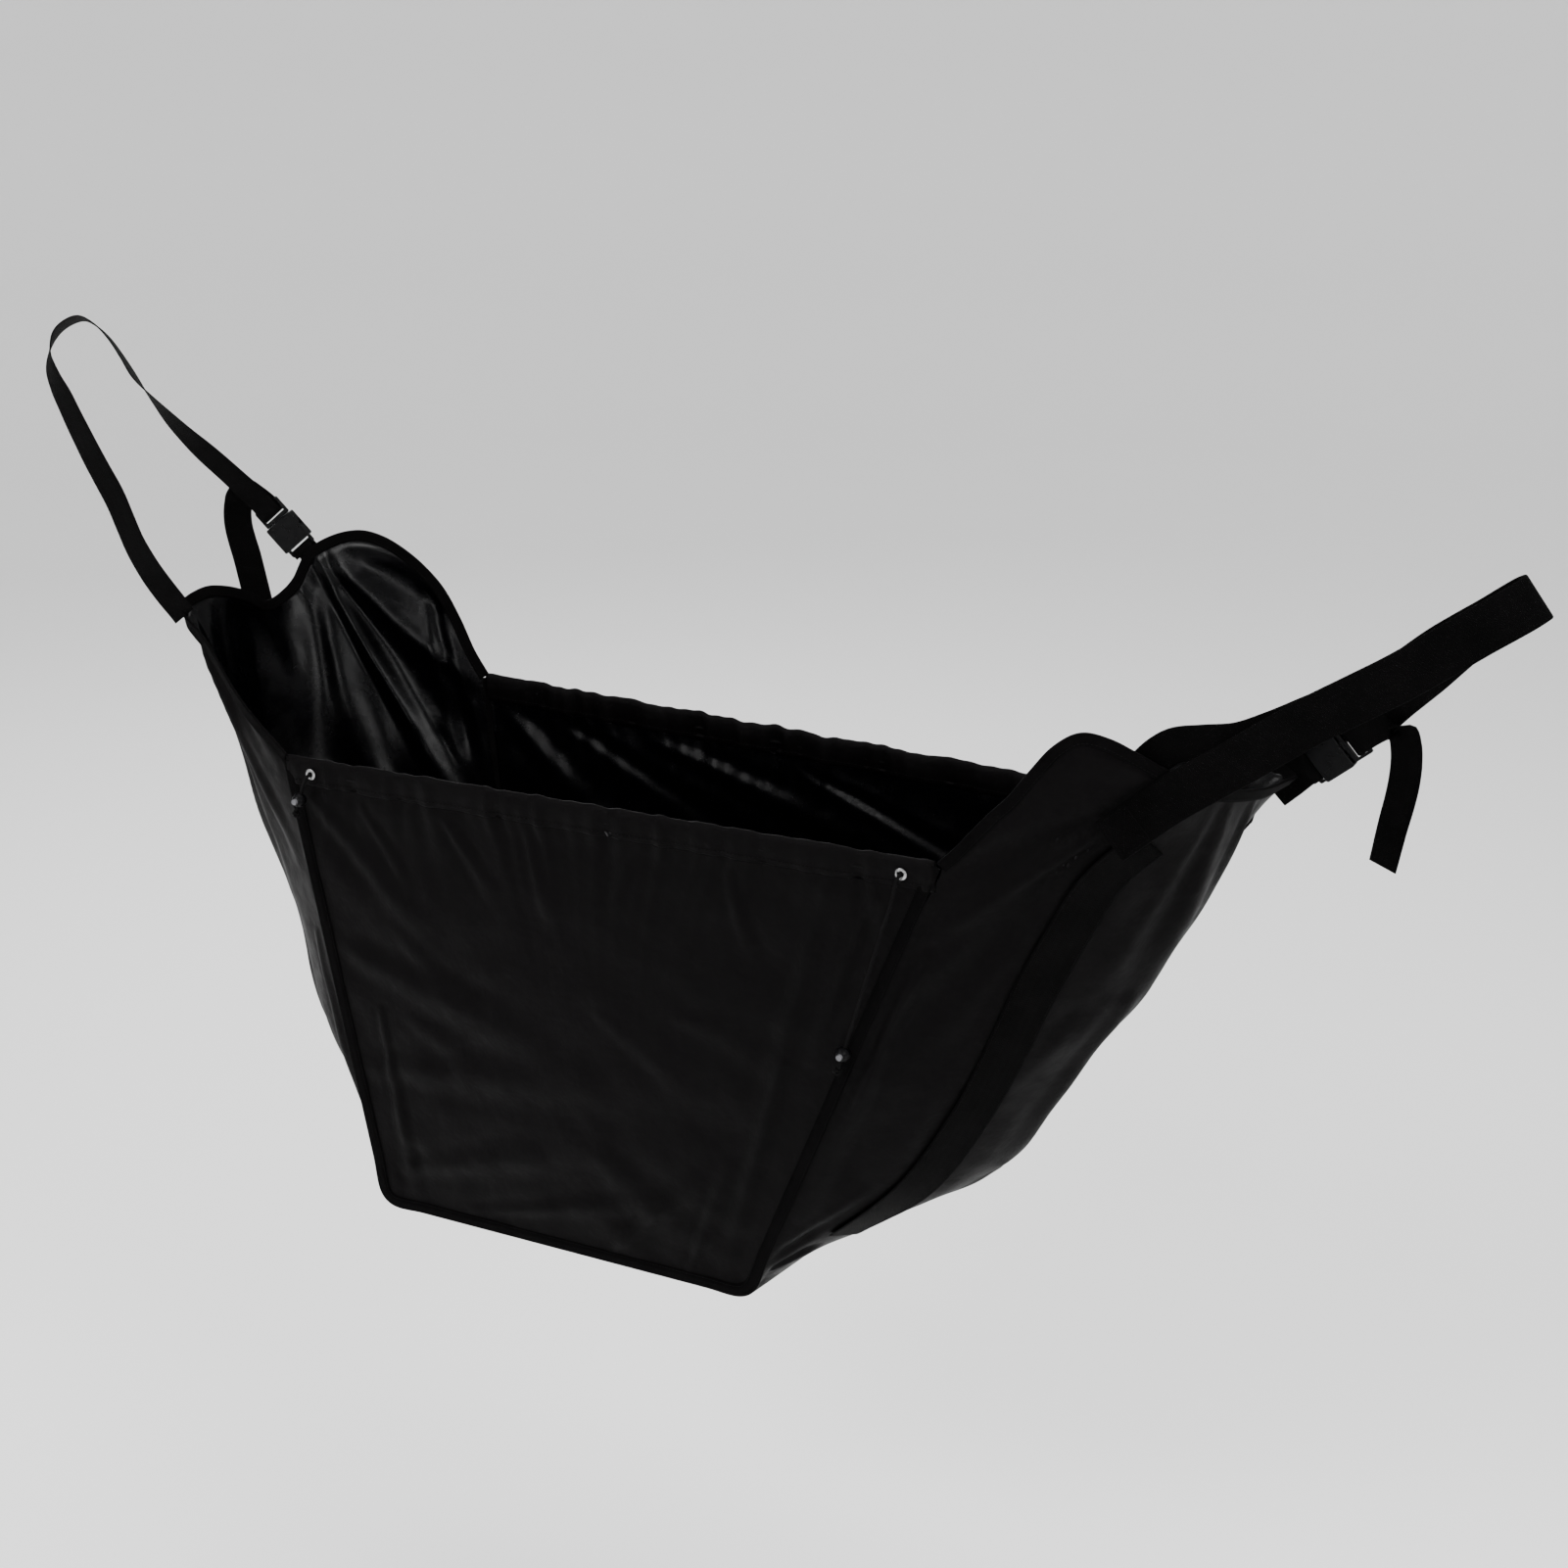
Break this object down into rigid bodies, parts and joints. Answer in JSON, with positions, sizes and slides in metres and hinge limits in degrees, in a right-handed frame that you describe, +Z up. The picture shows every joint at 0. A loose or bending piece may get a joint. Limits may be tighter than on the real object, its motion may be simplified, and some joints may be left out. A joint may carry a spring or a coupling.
{
  "type": "hanging fabric trough",
  "caption": "Black coated-cloth catch trough with drawcord rims, hung from webbing loops at both ends, with side-release buckles and ball cord locks.",
  "frame": {"origin": "inside of the left strap loop's apex, where the trough hangs on its hook", "axes": "+X from the left loop towards the right loop, +Y from the front panel to the back panel, +Z up"},
  "size_m": [1.8916, 0.3834, 1.1146],
  "materials": {
    "coated_cloth": "matte plain-weave outside, glossy coated inside",
    "binding_tape": "matte ribbed tape",
    "webbing": "ribbed woven webbing",
    "braided_cord": "braided",
    "moulded_plastic": "satin moulded",
    "grey_plastic": "satin moulded",
    "bright_steel": "bright plated"
  },
  "bodies": {
    "trough": {"left_end_panel": "coated_cloth", "right_end_panel": "coated_cloth", "front_panel": "coated_cloth", "back_panel": "coated_cloth", "floor_panel": "coated_cloth", "front_hem": "coated_cloth", "back_hem": "coated_cloth", "front_seam_binding": "binding_tape", "back_seam_binding": "binding_tape", "left_lip_binding": "binding_tape", "right_lip_binding": "binding_tape", "front_drawcord": "braided_cord", "back_drawcord": "braided_cord", "front_sling_band": "webbing", "back_sling_band": "webbing", "right_handle_loop": "webbing", "left_strap": "webbing", "right_strap": "webbing", "left_buckle_tab": "webbing", "right_buckle_tab": "webbing", "left_buckle_socket": "moulded_plastic", "right_buckle_socket": "moulded_plastic", "front_left_eyelet": "bright_steel", "front_left_cord_end": "braided_cord", "front_left_knot": "braided_cord", "front_right_eyelet": "bright_steel", "front_right_cord_end": "braided_cord", "front_right_knot": "braided_cord", "back_left_eyelet": "bright_steel", "back_left_cord_end": "braided_cord", "back_left_knot": "braided_cord", "back_right_eyelet": "bright_steel", "back_right_cord_end": "braided_cord", "back_right_knot": "braided_cord"},
    "front_left_lock": {"front_left_lock_ball": "moulded_plastic", "front_left_lock_spring": "bright_steel"},
    "front_left_plunger": {"front_left_lock_plunger": "grey_plastic"},
    "front_right_lock": {"front_right_lock_ball": "moulded_plastic", "front_right_lock_spring": "bright_steel"},
    "front_right_plunger": {"front_right_lock_plunger": "grey_plastic"},
    "back_left_lock": {"back_left_lock_ball": "moulded_plastic", "back_left_lock_spring": "bright_steel"},
    "back_left_plunger": {"back_left_lock_plunger": "grey_plastic"},
    "back_right_lock": {"back_right_lock_ball": "moulded_plastic", "back_right_lock_spring": "bright_steel"},
    "back_right_plunger": {"back_right_lock_plunger": "grey_plastic"},
    "left_plug": {"left_buckle_plug": "moulded_plastic", "left_buckle_upper_latch": "moulded_plastic", "left_buckle_lower_latch": "moulded_plastic"},
    "right_plug": {"right_buckle_plug": "moulded_plastic", "right_buckle_upper_latch": "moulded_plastic", "right_buckle_lower_latch": "moulded_plastic"}
  },
  "joints": [
    {"name": "left_buckle_release", "type": "slide", "parent": "trough", "child": "left_plug", "axis": [-0.6008, -0.2253, 0.767], "range_m": [0, 0.03], "deforming": ["left_strap", "left_buckle_upper_latch", "left_buckle_lower_latch"]},
    {"name": "right_buckle_release", "type": "slide", "parent": "trough", "child": "right_plug", "axis": [0.7283, -0.1995, 0.6555], "range_m": [0, 0.03], "deforming": ["right_strap", "right_buckle_upper_latch", "right_buckle_lower_latch"]},
    {"name": "front_left_lock_slide", "type": "slide", "parent": "trough", "child": "front_left_lock", "axis": [0.3295, 0.0325, 0.9436], "range_m": [-0.005, 0.003]},
    {"name": "front_left_lock_press", "type": "slide", "parent": "front_left_lock", "child": "front_left_plunger", "axis": [-0.0107, 0.9995, -0.0307], "range_m": [0, 0.0025], "stiffness_N_per_m": 300, "springref_m": -0.002, "deforming": ["front_left_lock_spring"]},
    {"name": "front_right_lock_slide", "type": "slide", "parent": "trough", "child": "front_right_lock", "axis": [0.2903, -0.0538, 0.9554], "range_m": [-0.01, 0.16]},
    {"name": "front_right_lock_press", "type": "slide", "parent": "front_right_lock", "child": "front_right_plunger", "axis": [0.0156, 0.9986, 0.0515], "range_m": [0, 0.0025], "stiffness_N_per_m": 300, "springref_m": -0.002, "deforming": ["front_right_lock_spring"]},
    {"name": "back_left_lock_slide", "type": "slide", "parent": "trough", "child": "back_left_lock", "axis": [0, 0, 1], "range_m": [-0.01, 0.035]},
    {"name": "back_left_lock_press", "type": "slide", "parent": "back_left_lock", "child": "back_left_plunger", "axis": [0, -1, 0], "range_m": [0, 0.0025], "stiffness_N_per_m": 300, "springref_m": -0.002, "deforming": ["back_left_lock_spring"]},
    {"name": "back_right_lock_slide", "type": "slide", "parent": "trough", "child": "back_right_lock", "axis": [0, 0, 1], "range_m": [-0.01, 0.1]},
    {"name": "back_right_lock_press", "type": "slide", "parent": "back_right_lock", "child": "back_right_plunger", "axis": [0, -1, 0], "range_m": [0, 0.0025], "stiffness_N_per_m": 300, "springref_m": -0.002, "deforming": ["back_right_lock_spring"]}
  ]
}
